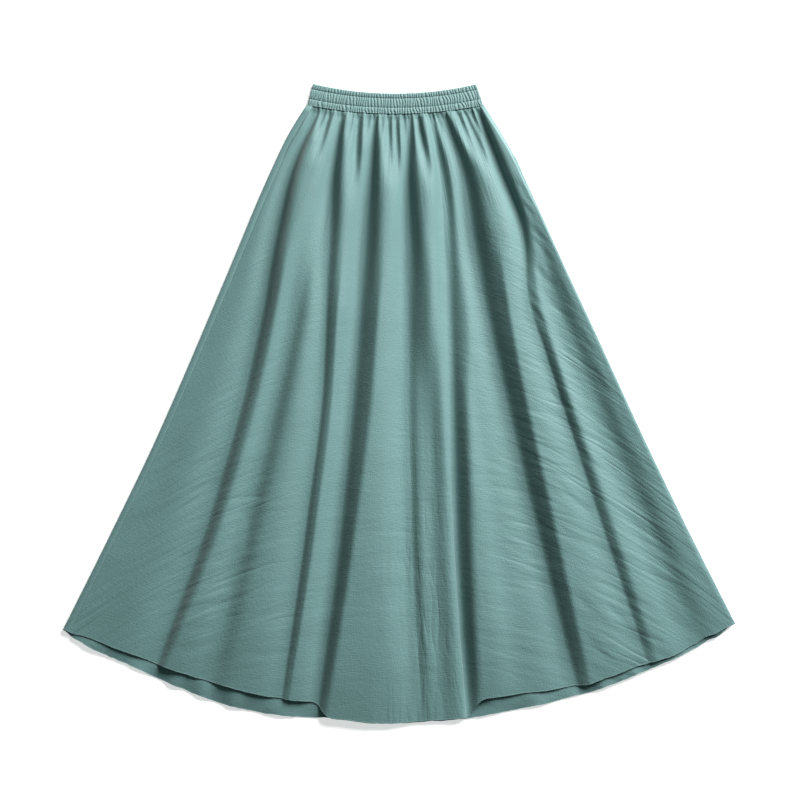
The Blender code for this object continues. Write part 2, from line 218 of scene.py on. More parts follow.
SOFT_FOLDS = (
    Fold("left edge", (-24.0, -23.8, -23.4, -22.8, -22.5, -22.4, -22.4),
         (0, 0, 0, 0.08, 0.12, 0.12, 0.1), (30,) * 7, (40,) * 7, 0),
    Fold("left quarter", (-16.0, -15.8, -15.5, -15.0, -14.6, -14.2, -13.9),
         (0, 0, 0.22, 0.58, 0.7, 0.66, 0.58), (16, 16, 16, 16, 18, 24, 26), (20,) * 7, 0),
    Fold("centre lower", (4, 4, 4.2, 4.2, 3.9, 3.4, 3.2), (0, 0, 0, 0.14, 0.62, 0.66, 0.5),
         (20,) * 7, (16,) * 7, 0),
    Fold("right quarter", (10.4, 10.4, 10.4, 10.2, 10, 9.8, 9.2), (0, 0, 0, 0.08, 0.3, 0.4, 0.44),
         (18,) * 7, (44,) * 7, 0),
    Fold("right edge", (25, 25, 23.8, 22.8, 22.4, 22.2, 22.4), (0, 0, 0.12, 0.38, 0.46, 0.54, 0.54),
         (12, 12, 16, 20, 24, 28, 28), (14, 14, 16, 17, 20, 24, 24), 0),
)
# How far the lean of a crest is felt, and how deep the folds are at the seam and where they are full
LEAN_SPREAD = 24.0
SEWN_DEPTH = 0.4
SEWN_LENGTH = 9.0

Gather = namedtuple("Gather", "angle drift half_width depth length")
GATHERS = [Gather(*row) for row in (
    (-25.8, 0, 3.6, 0.95, 80), (-24, 0.6, 3.4, 0.9, 55), (-20.9, 0.2, 3.2, 0.9, 55),
    (-19.3, 0.8, 4, 0.95, 95), (-17, 1, 3, 0.4, 70), (-12.8, 0.7, 3, 0.5, 70),
    (-10.9, 3.2, 5, 1, 175), (-8.2, 0.5, 3.4, 0.75, 60), (-4, 0.4, 2.6, 0.5, 50),
    (-2.1, 1, 4, 0.95, 120), (0.1, 0.8, 4, 0.95, 160), (2.4, 0.5, 4.2, 1, 90),
    (6.5, 1.2, 4.6, 1, 130), (10.9, 0.2, 3, 0.8, 50), (12.6, 0.3, 4.2, 1, 70),
    (18.2, 0.7, 4, 1, 95), (20.2, 0.5, 4.4, 1, 125), (21.8, 0, 3.6, 1, 80),
)]


# %% The smooth form of the front
FOOT = 0.26
HEAD = 0.12


def ramp(value):
    """From 0 to 1 in a straight line with a rounded foot and a crisper head."""
    value = np.clip(value, 0, 1)
    slope = 1 / (1 - (FOOT + HEAD) / 2)
    middle = slope * (value - FOOT / 2)
    foot = slope * value**2 / (2 * FOOT)
    head = 1 - slope * (1 - value) ** 2 / (2 * HEAD)
    return np.where(value < FOOT, foot, np.where(value > 1 - HEAD, head, middle))


def valley(distance, left, right, share=0.0):
    """1 in the middle of a valley. Its right wall is steep, and straight lower down the skirt."""
    away = np.abs(distance)
    lower = smoothstep((share - 0.2) / 0.14)
    left_side = 1 / (1 + (away / left) ** 2.7)
    curved = 1 / (1 + (away / right) ** 3.5)
    straight = 1 - ramp(away / (2 * right))
    return np.where(distance < 0, left_side, curved + (straight - curved) * lower)


def front_surface(angle, share):
    """Angle, distance and height of the front cloth, with its crests leaning over."""
    radius = length_radius(angle, share, "front")
    reach = radius * np.pi / 180
    left, right = side_angles(share)
    shares = column(RISES, "share")
    left_rise = np.interp(share, shares, column(RISES, "left"))
    right_rise = np.interp(share, shares, column(RISES, "right"))
    side = smoothstep((angle - left) / left_rise) * smoothstep((right - angle) / right_rise)
    top = curve_of(CRESTS, "height", share)
    lower = smoothstep((share - 0.1) / 0.3)
    edge_top = EDGE_TOP + (RIGHT_EDGE_TOP - EDGE_TOP) * smoothstep(angle / 10) * lower
    crest = np.minimum(edge_top, top) + np.maximum(top - edge_top, 0) * side
    fullness = np.ones_like(angle)
    shift = np.zeros_like(angle)
    below_seam = np.maximum(radius - seam_radius(angle), 0)
    sewn = SEWN_DEPTH + (1 - SEWN_DEPTH) * smoothstep(below_seam / SEWN_LENGTH)
    for fold in LONG_FOLDS + SOFT_FOLDS:
        away = (angle - smooth_curve(STATIONS, fold.angles, share)) * reach
        depth = smooth_curve(STATIONS, fold.depths, share) * sewn
        left_half = smooth_curve(STATIONS, fold.lefts, share)
        right_half = smooth_curve(STATIONS, fold.rights, share)
        wall_share = share if fold in LONG_FOLDS else 0.0
        fullness = fullness * (1 - depth * valley(away, left_half, right_half, wall_share))
        hung = fold.lean * depth * smoothstep((share - 0.1) / 0.4)
        leaning = away * np.sign(fold.lean)
        near = np.exp(-((away / LEAN_SPREAD) ** 2)) * smoothstep(leaning / np.minimum(left_half, right_half))
        shift = shift - hung * near
    for gather in GATHERS:
        run = below_seam / gather.length
        away = (angle - gather.angle - gather.drift * np.minimum(run, 1)) * reach
        depth = gather.depth * sewn * (1 - smoothstep(run))
        half_width = gather.half_width * (1 + run)
        fullness = fullness * (1 - depth * valley(away, half_width, half_width))
    height = FRONT_FLOOR + (crest - FRONT_FLOOR) * np.clip(fullness, 0, 1)
    turned = angle + shift * smoothstep((fullness - 0.05) / 0.6) / reach
    return turned, radius, height


print(len(LONG_FOLDS), "long folds,", len(SOFT_FOLDS), "soft ones and", len(GATHERS), "gathers")

# %% [markdown]
# ## Creases and crinkles
#
# Crepe is washed and twisted so that it keeps fine crinkles, and folding adds creases. On this
# skirt they rise to the right on the left panels, lie level in the middle and fall to the right
# on the right panels. The lines of equal "level" below follow that rule, so noise that is
# stretched along them gives crinkles with the right heading everywhere. The largest creases
# are listed one by one, each with its own heading, length, width and depth.

# %% Directions of the crinkles
CRINKLE_RADIUS = 800.0
CRINKLE_TURN = 2.45


def crinkle_place(angle, radius):
    """Place along the crinkle lines, and the level of the line, in millimetres."""
    turn = np.radians(np.clip(angle, -30, 30))
    along = CRINKLE_RADIUS * turn
    bend = np.log(np.cos(CRINKLE_TURN * turn)) / CRINKLE_TURN
    return along, CRINKLE_RADIUS * (np.log(radius / CRINKLE_RADIUS) + bend)


# %% The creases, listed one by one
# Middle of each crease, its heading in degrees, its length, half width, depth and bow
Crease = namedtuple("Crease", "x y heading length width depth bow")
CREASE_DEPTH = 0.85
CREASES = [Crease(*row) for row in (
    (-388, -208, 24, 88, 3.5, 0.8, 3), (-424, -280, 32, 113, 4, 0.9, 5),
    (-365, -160, 26, 101, 3.5, 0.7, 4), (-331, -241, 30, 88, 3.5, 1, 3),
    (-314, -225, 26, 66, 3, 0.7, 2), (-277, -300, 18, 93, 4, 1, 4),
    (-284, -328, 17, 100, 4, 0.8, 4), (-299, -364, 7, 97, 4, 0.7, 3),
    (-188, -375, 6, 80, 4, 0.7, 2), (-296, -123, 18, 76, 3.5, 0.7, 3),
    (-229, -196, 87, 84, 3.5, 0.8, 2), (-256, -265, 84, 58, 3, 0.8, -2),
    (182, 326, -43, 31, 3, 0.9, 1), (190, 311, -52, 35, 3, 1, 2),
    (193, 291, -55, 37, 3, 0.9, -1), (211, 252, -43, 53, 3.5, 1.2, 3),
    (208, 240, -48, 38, 3, 0.9, 1), (223, 221, -45, 30, 3, 0.9, 1),
    (218, 191, -47, 53, 3.5, 1.3, 3), (206, 155, -48, 45, 3, 0.9, 2),
    (208, 134, -55, 47, 3.5, 1.2, 2), (250, 165, -63, 60, 3.5, 1.3, 3),
    (239, 141, -55, 52, 3.5, 1, -2), (280, 96, -58, 55, 3.5, 1.2, 3),
    (242, 6, -42, 60, 3.5, 0.8, 2), (302, 36, -60, 62, 3.5, 1.2, 3),
    (340, -24, -60, 60, 4, 1.1, 3), (302, -24, -50, 60, 3.5, 0.9, 2),
    (362, -99, -54, 70, 4, 1, 3), (287, -84, -45, 70, 3.5, 0.9, 3),
    (265, -144, -40, 80, 3.5, 0.9, 3), (392, -204, -54, 75, 4, 1, 3),
    (161, -268, -28, 69, 3.5, 0.8, 2), (290, -309, -39, 73, 4, 1, 3),
    (332, -320, -44, 70, 3.5, 0.9, 3), (299, -367, -42, 63, 3.5, 1, 2),
    (416, -322, -46, 93, 4, 1, 4), (379, -349, -39, 60, 3.5, 0.8, 2),
    (173, -369, -18, 88, 4, 0.8, 3), (40, -405, 4, 50, 3.5, 0.8, -2),
)]


def crease_relief(x, y):
    """Troughs along the creases, each with a low ridge beside it."""
    relief = np.zeros_like(x)
    for crease in CREASES:
        turn = np.radians(crease.heading)
        along = (x - crease.x) * np.cos(turn) + (y - crease.y) * np.sin(turn)
        across = (y - crease.y) * np.cos(turn) - (x - crease.x) * np.sin(turn)
        along = along / (crease.length / 2)
        across = (across - crease.bow * (along**2 - 0.33)) / crease.width
        fade = smoothstep((1 - np.abs(along)) / 0.6)
        depth = CREASE_DEPTH * crease.depth * fade
        relief -= depth * np.exp(-((across / 1.15) ** 2))
        relief += 0.35 * depth * np.exp(-(((across - 2.1) / 1.2) ** 2))
    return relief


print(len(CREASES), "creases placed by hand")

# %% [markdown]
# ## Relief of the front cloth
#
# Three kinds of relief lie on the smooth form, and they push the cloth in or out along its own
# normal. Puckers, a few millimetres apart, start where the machine drew the cloth into the seam.
# Crosswise crinkles follow the level lines. Lengthwise ones lie in the middle of the skirt and
# below the gathers. Two of the strengths are kept as attributes, so that the material can add
# still finer crinkles of the same kind in the same places.

# %% Puckers and crinkles
PUCKER_PITCH = 5.6
PUCKER_DEPTH = 1.5


def pucker_relief(angle, radius):
    """Short troughs of uneven length just below the waist seam."""
    run = np.maximum(radius - seam_radius(angle), 0)
    place = angle * SEAM_RADIUS * np.pi / 180 / PUCKER_PITCH
    place = place + 0.35 * soft_noise(place * 0.37, run / 40, 5)
    cell = np.round(place)
    length = 17 + 9 * soft_noise(cell + 0.5, cell * 0 + 0.5, 11)
    trough = np.exp(-(((place - cell) / 0.24) ** 2))
    return -PUCKER_DEPTH * trough * smoothstep(1 - run / length) * smoothstep(run / 1.5 + 0.3)


def crinkle_strengths(angle, share):
    """How strong the crosswise and the lengthwise crinkles are at each place."""
    out = np.abs(angle) / 26
    crosswise = 0.35 + 0.65 * smoothstep((out - 0.15) / 0.4)
    crosswise = crosswise * smoothstep((share - 0.10) / 0.25)
    crosswise = crosswise * (0.45 + 0.55 * smoothstep((share - 0.35) / 0.35))
    patch = 0.75 + 0.5 * soft_noise(angle / 4.5, share * 7, 21)
    middle = np.exp(-(((angle - 2.4) / 3.6) ** 2)) * smoothstep((share - 0.42) / 0.3)
    below_waist = 0.5 * smoothstep(share / 0.02) * (1 - smoothstep((share - 0.05) / 0.3))
    return crosswise * np.clip(patch, 0.2, 1.3), np.clip(middle + below_waist, 0, 1)


def front_relief(angle, radius, share, x, y):
    along, level = crinkle_place(angle, radius)
    crosswise, lengthwise = crinkle_strengths(angle, share)
    broad = soft_noise(along / 90, level / 21, 31) + 0.4 * soft_noise(along / 60, level / 13, 32)
    ripple = soft_noise(angle * 14 / 11, radius / 130, 33)
    slow = soft_noise(angle / 2.1, radius / 90, 34)
    relief = 0.5 * crosswise * broad + 0.7 * lengthwise * ripple + 0.5 * slow * smoothstep(share / 0.1)
    return relief + pucker_relief(angle, radius) + crease_relief(x, y)


# %% [markdown]
# ## From rows of points to cloth
#
# Each panel is a grid of points, one row for each step from the waist to the hem. A grid keeps
# the order of the threads, so its UV maps come for free: one map is the cloth itself, in metres
# along and across the threads, and the other holds the crinkle directions. The columns run
# along the folds and crowd beside them, where the cloth turns most.

# %% Grids, UV maps and attributes
MAP_RADIUS = 900.0


def new_object(name, data):
    """An object at the origin, in the scene."""
    made = bpy.data.objects.new(name, data)
    bpy.context.scene.collection.objects.link(made)
    return made


def surface_normals(points):
    down = np.gradient(points, axis=0)
    over = np.gradient(points, axis=1)
    normal = np.cross(down, over)
    return normal / np.maximum(np.linalg.norm(normal, axis=-1, keepdims=True), 1e-9)


def cloth_object(name, points, maps, strengths):
    """A grid of cloth in metres, with its UV maps (in metres) and its attributes."""
    count_rows, count_columns = points.shape[:2]
    index = np.arange(count_rows * count_columns).reshape(count_rows, count_columns)
    faces = np.stack([index[:-1, :-1], index[1:, :-1], index[1:, 1:], index[:-1, 1:]], axis=-1)
    mesh = bpy.data.meshes.new(name)
    mesh.from_pydata((points.reshape(-1, 3) * MM).tolist(), [], faces.reshape(-1, 4).tolist())
    corners = np.zeros(len(mesh.loops), dtype=np.int32)
    mesh.loops.foreach_get("vertex_index", corners)
    for map_name, (u, v) in maps.items():
        layer = mesh.uv_layers.new(name=map_name)
        pairs = np.stack([u.ravel()[corners], v.ravel()[corners]], axis=-1) * MM
        layer.data.foreach_set("uv", pairs.ravel().astype(np.float32))
    for attribute_name, values in strengths.items():
        attribute = mesh.attributes.new(attribute_name, "FLOAT", "POINT")
        attribute.data.foreach_set("value", values.ravel().astype(np.float32))
    mesh.shade_smooth()
    return new_object(name, mesh)


def spread(start, end, count, crowding):
    """Places from start up to end, crowded towards both."""
    t = np.arange(count) / count
    return start + (end - start) * (t - crowding * np.sin(2 * np.pi * t) / (2 * np.pi))


def one_side_area(points):
    down = points[1:, :-1] - points[:-1, :-1]
    over = points[:-1, 1:] - points[:-1, :-1]
    return float(np.linalg.norm(np.cross(down, over), axis=-1).sum()) * MM * MM


def row_sides(share, hem):
    """The side angles of a row, and the angle that spans one millimetre at each."""
    left, right = side_angles(share)
    reaches = [np.degrees(1 / length_radius(side, share, hem)) for side in (left, right)]
    return left, right, *reaches


def dressed_panel(name, points, angle, share, hem, shift=(0.0, 0.0)):
    """A panel of cloth with its maps, its crinkle strengths and its wall."""
    radius = length_radius(angle, share, hem)
    along, level = crinkle_place(angle, radius)
    maps = {
        "cloth": (np.radians(angle) * MAP_RADIUS, radius),
        "crinkle": (along + shift[0], level + shift[1]),
    }
    crosswise, lengthwise = crinkle_strengths(angle, share)
    panel = cloth_object(name, points, maps, {"crosswise": crosswise, "lengthwise": lengthwise})
    wall = panel.modifiers.new("wall", "SOLIDIFY")
    wall.thickness = CLOTH * MM
    wall.offset = -1.0
    print(name, points.shape[:2], "points,", round(one_side_area(points), 3), "square metres")
    return panel


# %% [markdown]
# ## The front panel
#
# The front is one panel, gathered at the top and sewn to the back at its sides. The skirt lies
# a little turned on itself: on the left the seam shows 10 mm inside the edge, in a fine groove,
# and on the right the front rolls round the edge and ends underneath. One more row lies close
# to the hem, so that the shading stays true up to the edge. Solidify gives the cloth its wall,
# inwards from the face that shows.

# %% Build the front panel
FRONT_COLUMNS = (20, 34, 34, 34, 22, 20, 36, 26)
FRONT_ROWS = 203
LAST_ROW = 0.9994
STEADY_COLUMNS = 12
# Places of the columns beside the left seam, and the depth of its groove
SEAM_STEPS = (-1.2, -0.2, 0.3)
SEAM_TUCK = 0.55
# How far in from the edge each step of its roll lies, and how high; the first steps grow with the edge
EDGE_ROLL = ((1.5, 7.3), (0.6, 6.7), (0.15, 5.7), (0.0, 4.4), (0.2, 2.8), (0.8, 1.3), (2.2, 0.4), (4.0, 0.3))
GROWING_STEPS = 4
ROLL_START = 4.0
LOWEST_TOP = 2.4
LOWEST_UNDER = 0.15


def front_rows():
    t = np.linspace(0, 1, FRONT_ROWS)
    return np.insert(0.74 * t + 0.26 * t**2, -1, LAST_ROW)


def front_panel():
    rows = []
    angles = []
    for share in front_rows():
        left, right, left_reach, right_reach = row_sides(share, "front")
        lines = [left + (SEAM_INSET + 0.8) * left_reach]
        lines += [float(smooth_curve(STATIONS, fold.angles, share)) for fold in LONG_FOLDS]
        lines.append(right - ROLL_START * right_reach)
        crowding = 0.2 + 0.35 * smoothstep(share / 0.2)
        places = [spread(a, b, count, crowding) for a, b, count in zip(lines, lines[1:], FRONT_COLUMNS)]
        tucked = left + (SEAM_INSET + np.array(SEAM_STEPS)) * left_reach
        angle = np.concatenate([tucked] + places + [[lines[-1]]])
        turned, radius, height = front_surface(angle, np.full_like(angle, share))
        top = fan_point(turned, radius, height)
        insets, heights = np.array(EDGE_ROLL + ((SEAM_INSET, 0.3),)).T
        if share > 0.1:
            heights[:GROWING_STEPS] *= max(height[-1] / EDGE_TOP, 1.0)
        edge = right - insets * right_reach
        under = fan_point(edge, length_radius(edge, share, "front"), np.minimum(heights, height[-1]))
        rows.append(np.concatenate([top, under]))
        angles.append(np.concatenate([angle, edge]))
    return np.array(rows), np.array(angles)


base, angle = front_panel()
share = np.broadcast_to(front_rows()[:, None], angle.shape)
radius = length_radius(angle, share, "front")
relief = front_relief(angle, radius, share, base[..., 0], base[..., 1])
from_seam = (angle - side_angles(share)[0]) * np.radians(radius) - SEAM_INSET
seam_groove = -SEAM_TUCK * smoothstep((0.5 - from_seam) / 1.2)
top_columns = sum(FRONT_COLUMNS) + len(SEAM_STEPS) + 1
column_numbers = np.arange(angle.shape[1])
steady = smoothstep((top_columns - 1 - column_numbers) / STEADY_COLUMNS)
relief = relief * steady * smoothstep(from_seam / 8) + seam_groove
front_points = base + surface_normals(base) * relief[..., None]
lowest_height = np.where(column_numbers < top_columns, LOWEST_TOP, LOWEST_UNDER)
front_points[..., 2] = np.maximum(front_points[..., 2], lowest_height)
skirt_front = dressed_panel("skirt_front_cloth", front_points, angle, share, "front")

# %% [markdown]
# ## The back panel
#
# The back lies flat on the table, so its underside is level, but for creases like those on the
# front, pressed flatter. It shows in the strip below the front hem, where small waves lift it,
# and at the left edge, which it rolls round to meet the front at the seam. Under the front hem
# it swells up to meet the crests, and the gaps that stay there let some shadow in.

# %% Build the back panel
BACK_ROWS = 110
BACK_COLUMNS = 300
# The waves of the bare strip: how much they lift it, how sharp they are and where they are full
WAVE_LIFT = 3.4
WAVE_POWER = 1.6
WAVE_START = 2.0
WAVE_REACH = 24.0
# The swelling under the front hem, as a part of the hem's height, and how soon it sinks
PILLOW = 1.0
PILLOW_GAPS = 0.32
PILLOW_BASE = 1.5
PILLOW_MIDDLE = 1.0
PILLOW_REACH = 19.0
HEM_SPREAD = 20
# The roll round the left edge, from below to the seam: distance in from the edge, and height
LEFT_ROLL = ((4.0, 0.0), (2.2, 0.1)) + EDGE_ROLL[-3::-1] + ((4.0, 7.6), (6.0, 7.7), (8.0, 7.6),
                                                            (SEAM_INSET - 0.15, 7.2))
UNDER_STEPS = 4

# Height of the front hem above its valleys: the lowest value nearby, smoothed
hem_angles = np.linspace(-29, 29, 1161)
hem_heights = front_surface(hem_angles, np.ones_like(hem_angles))[2] - FRONT_FLOOR
lowest = np.min([np.roll(hem_heights, step) for step in range(-HEM_SPREAD, HEM_SPREAD + 1)], axis=0)
window = np.hanning(2 * HEM_SPREAD + 3)
lowest = np.convolve(np.pad(lowest, HEM_SPREAD, mode="edge"), window[1:-1] / window.sum(), mode="valid")


def back_lift(angle, radius):
    """The back swells up under the hem of the front, and its bare strip has waves."""
    bare = radius - hem_radius(angle, "front") - WAVE_START
    wave = 0.5 + 0.5 * np.sin(2 * np.pi * 0.34 * angle + 1.7 * np.sin(0.43 * angle))
    held = PILLOW - PILLOW_GAPS * (1 - wave)
    below = PILLOW_BASE + held * np.interp(angle, hem_angles, lowest)
    held_up = below * np.exp(-(((bare - PILLOW_MIDDLE) / PILLOW_REACH) ** 2))
    return held_up + WAVE_LIFT * wave**WAVE_POWER * smoothstep(bare / WAVE_REACH)


def back_creases(angle, radius, share):
    """Shallow crinkles that lift the underside a little off the table."""
    along, level = crinkle_place(angle, radius)
    crinkle = np.abs(soft_noise(along / 80, level / 16, 41)) + np.abs(soft_noise(along / 60, level / 26, 42))
    gathers = np.clip(soft_noise(angle * 1.3, radius / 160, 43), 0, 1) * (1 - smoothstep(share / 0.3))
    return 0.5 * np.clip(0.55 - crinkle, 0, 1) + 1.1 * gathers


def back_rows():
    t = np.linspace(0, 1, BACK_ROWS)
    return np.insert(0.75 * t + 0.25 * (1 - (1 - t) ** 2), -1, LAST_ROW)


def back_panel():
    rows = []
    angles = []
    insets, heights = np.array(LEFT_ROLL).T
    on_top = np.arange(BACK_COLUMNS + len(LEFT_ROLL)) >= BACK_COLUMNS + UNDER_STEPS
    for share in back_rows():
        left, right, left_reach, right_reach = row_sides(share, "back")
        under = np.linspace(right - (SEAM_INSET + 0.15) * right_reach, left + 8 * left_reach, BACK_COLUMNS)
        radius = length_radius(under, share, "back")
        lift = back_lift(under, radius) + back_creases(under, radius, share)
        lift = lift * smoothstep((np.abs(under - under[-1]) / left_reach) / STEADY_COLUMNS)
        lift = lift * smoothstep((np.abs(under - under[0]) / right_reach) / STEADY_COLUMNS)
        height = np.concatenate([lift, np.minimum(heights, curve_of(CRESTS, "height", share) + 0.6)])
        angle = np.concatenate([under, left + insets * left_reach])
        meets = np.where(on_top, length_radius(angle, share, "front"), length_radius(angle, share, "back"))
        rows.append(fan_point(angle, meets, height))
        angles.append(angle)
    return np.array(rows), np.array(angles)


back_points, angle = back_panel()
share = np.broadcast_to(back_rows()[:, None], angle.shape)
skirt_back = dressed_panel("skirt_back_cloth", back_points, angle, share, "back", shift=(37, 11))

# %% [markdown]
# ## Ways to add nodes
#
# Materials and Geometry Nodes are both trees of nodes. The first function adds any node, sets
# its properties and its inputs, and links those inputs that are given another node's socket.
# The others add the few kinds that repeat: maths, noise, and how a Geometry Nodes tree starts
# and ends.

# %% Add a node to a tree
def add_node(tree, kind, inputs=None, **settings):
    node = tree.nodes.new(kind)
    for name, value in settings.items():
        setattr(node, name, value)
    for key, value in (inputs or {}).items():
        if isinstance(value, bpy.types.NodeSocket):
            tree.links.new(value, node.inputs[key])
        else:
            node.inputs[key].default_value = value
    return node


def maths(tree, operation, *values):
    """The result of an operation on numbers or sockets."""
    return add_node(tree, "ShaderNodeMath", dict(enumerate(values)), operation=operation).outputs[0]


def ramped(tree, value, start, end):
    """0 where the value is at its start and 1 at its end, straight between and level beyond."""
    inputs = {"Value": value, "From Min": start, "From Max": end}
    return add_node(tree, "ShaderNodeMapRange", inputs).outputs[0]


def noise(tree, place, scale, detail=1.0, roughness=0.5, distortion=0.0):
    """Smooth noise about 0.5. The scale is one number, or one for each axis."""
    if isinstance(scale, tuple):
        place = add_node(tree, "ShaderNodeMapping", {"Vector": place, "Scale": scale}).outputs[0]
        scale = 1.0
    inputs = {"Vector": place, "Scale": scale, "Detail": detail, "Roughness": roughness,
              "Distortion": distortion}
    return add_node(tree, "ShaderNodeTexNoise", inputs).outputs["Fac"]


def geometry_tree(name, **kinds):
    """A Geometry Nodes tree with named inputs of each kind: its input sockets and its end."""
    tree = bpy.data.node_groups.new(name, "GeometryNodeTree")
    tree.interface.new_socket("Geometry", in_out="OUTPUT", socket_type="NodeSocketGeometry")
    for kind, names in {"Geometry": ("Geometry",), **kinds}.items():
        for input_name in names:
            tree.interface.new_socket(input_name, in_out="INPUT", socket_type="NodeSocket" + kind)
    return tree, add_node(tree, "NodeGroupInput").outputs, add_node(tree, "NodeGroupOutput").inputs


def end_tree(tree, geometry, finish, end):
    """Turn instances into real meshes and give them their finish, as the end of a tree."""
    real = add_node(tree, "GeometryNodeRealizeInstances", {"Geometry": geometry})
    dressed = add_node(tree, "GeometryNodeSetMaterial", {"Geometry": real.outputs[0], "Material": finish})
    tree.links.new(dressed.outputs[0], end[0])
    return tree


def even_steps(tree, start, size):
    """The line that a tree is given, as a curve in even steps."""
    line = add_node(tree, "GeometryNodeMeshToCurve", {"Mesh": start["Geometry"]})
    inputs = {"Curve": line.outputs[0], "Length": start[size]}
    return add_node(tree, "GeometryNodeResampleCurve", inputs, mode="LENGTH").outputs[0]


def grown(name, source, tree, values):
    """Run a tree on a piece with the given inputs, and keep the result as a plain mesh."""
    modifier = source.modifiers.new(tree.name, "NODES")
    modifier.node_group = tree
    for socket in tree.interface.items_tree:
        if socket.item_type == "SOCKET" and socket.in_out == "INPUT" and socket.name in values:
            modifier[socket.identifier] = values[socket.name]
    ready = source.evaluated_get(bpy.context.evaluated_depsgraph_get())
    mesh = bpy.data.meshes.new_from_object(ready)
    mesh.name = name
    source.modifiers.remove(modifier)
    bpy.data.objects.remove(source)
    return new_object(name, mesh)


# %% [markdown]
# ## Finishes
#
# The cloth is cotton crepe, dyed a grey sea green. Its yarns are twisted hard, which makes the
# surface dull and slightly grainy, with no gloss. The colours are hex values as a picture editor
# shows them, and one function turns them into the linear values that a renderer adds up.

# %% Colours
def linear_colour(hex_value):
    channels = [int(hex_value[i:i + 2], 16) / 255 for i in (1, 3, 5)]
    linear = [c / 12.92 if c <= 0.04045 else ((c + 0.055) / 1.055) ** 2.4 for c in channels]
    return (*linear, 1.0)


CLOTH_COLOUR = "#4F7574"
CLOTH_LIGHT = "#587E7D"
CLOTH_DARK = "#476B6A"
BAND_COLOUR = "#5C7C7B"
THREAD_COLOUR = "#7E9C9A"


# %% [markdown]
# ### The crepe of the skirt
#
# Real yarns are about 0.4 mm apart, finer than a pixel at this distance, so the weave is drawn
# with slubs some 2 mm across, which is what the eye makes of it. Below the crinkles that are in
# the mesh, finer ones are added as bumps. Thin crosswise lines some 11 mm apart and soft ones
# some 6 mm apart follow the crinkle map, and lengthwise ones are some 6 mm apart. The surface is
# dull, and a little sheen stands for the loose fibre ends that catch the light.

# %% Crinkle lines
# Noise of each kind, in repeats for each metre along the axes of its map
WARP, WEFT = (600, 130, 600), (130, 540, 130)
CROSS_LINES, SOFT_LINES, LONG_LINES = (12, 46, 1), (21, 88, 1), (80, 9, 1)
PATCHES = (13, 13, 1)
# Depths in millimetres of each kind
WEAVE_DEPTH = 0.4
CROSS_DEPTH = 0.95
SOFT_DEPTH = 1.3
LONG_DEPTH = 1.0
LINE_WIDTH = 0.24
LINE_SHARPNESS = 1.7


def crinkle_lines(tree, place, scale, distortion, strength):
    """Thin uneven troughs, where smooth noise passes its middle value, in patches."""
    lines = noise(tree, place, scale, roughness=0.4, distortion=distortion)
    away = maths(tree, "ABSOLUTE", maths(tree, "SUBTRACT", lines, 0.5))
    trough = maths(tree, "POWER", ramped(tree, away, LINE_WIDTH, 0.0), LINE_SHARPNESS)
    fading = ramped(tree, noise(tree, place, PATCHES), 0.35, 0.70)
    return maths(tree, "MULTIPLY", maths(tree, "MULTIPLY", trough, fading), strength)


# %% Make the crepe
def new_material(name):
    """A material, with its tree and its shader."""
    material = bpy.data.materials.new(name)
    material.use_nodes = True
    return material, material.node_tree, material.node_tree.nodes["Principled BSDF"]


def set_inputs(shader, values):
    for name, value in values.items():
        shader.inputs[name].default_value = value


def blend(tree, amount, first, second):
    return add_node(tree, "ShaderNodeMixRGB", {"Fac": amount, 1: first, 2: second}).outputs[0]


def crepe_material(name, base_colour, with_crinkles):
    material, tree, shader = new_material(name)
    if with_crinkles:
        cloth = add_node(tree, "ShaderNodeUVMap", uv_map="cloth").outputs["UV"]
    else:
        cloth = add_node(tree, "ShaderNodeTexCoord").outputs["Object"]
    weave = maths(tree, "ADD", *(noise(tree, cloth, yarns, roughness=0.6) for yarns in (WARP, WEFT)))
    height = maths(tree, "MULTIPLY", weave, WEAVE_DEPTH)
    if with_crinkles:
        crinkle = add_node(tree, "ShaderNodeUVMap", uv_map="crinkle").outputs["UV"]
        crosswise, lengthwise = (add_node(tree, "ShaderNodeAttribute", attribute_name=kind).outputs["Fac"]
                                 for kind in ("crosswise", "lengthwise"))
        cross = crinkle_lines(tree, crinkle, CROSS_LINES, 0.5, crosswise)
        soft = maths(tree, "MULTIPLY", noise(tree, crinkle, SOFT_LINES, 2.0, 0.45, 0.4), crosswise)
        long = crinkle_lines(tree, cloth, LONG_LINES, 0.4, lengthwise)
        for lines, depth in ((cross, CROSS_DEPTH), (soft, SOFT_DEPTH), (long, LONG_DEPTH)):
            height = maths(tree, "MULTIPLY_ADD", lines, -depth, height)
    bump = add_node(tree, "ShaderNodeBump", {"Height": height, "Distance": MM, "Strength": 1.0})
    mottle = blend(tree, noise(tree, cloth, 24.0, detail=3.0), linear_colour(CLOTH_DARK),
                   linear_colour(CLOTH_LIGHT))
    slubs = blend(tree, ramped(tree, weave, 0.7, 1.3), linear_colour(base_colour), mottle)
    tree.links.new(slubs, shader.inputs["Base Color"])
    tree.links.new(bump.outputs[0], shader.inputs["Normal"])
    set_inputs(shader, {"Roughness": 0.66, "IOR": 1.45, "Specular IOR Level": 0.75,
                        "Sheen Weight": 0.35, "Sheen Roughness": 0.5})
    return material


skirt_crepe = crepe_material("crinkled cotton crepe", CLOTH_COLOUR, with_crinkles=True)
band_crepe = crepe_material("gathered cotton crepe", BAND_COLOUR, with_crinkles=False)
skirt_front.data.materials.append(skirt_crepe)
skirt_back.data.materials.append(skirt_crepe)

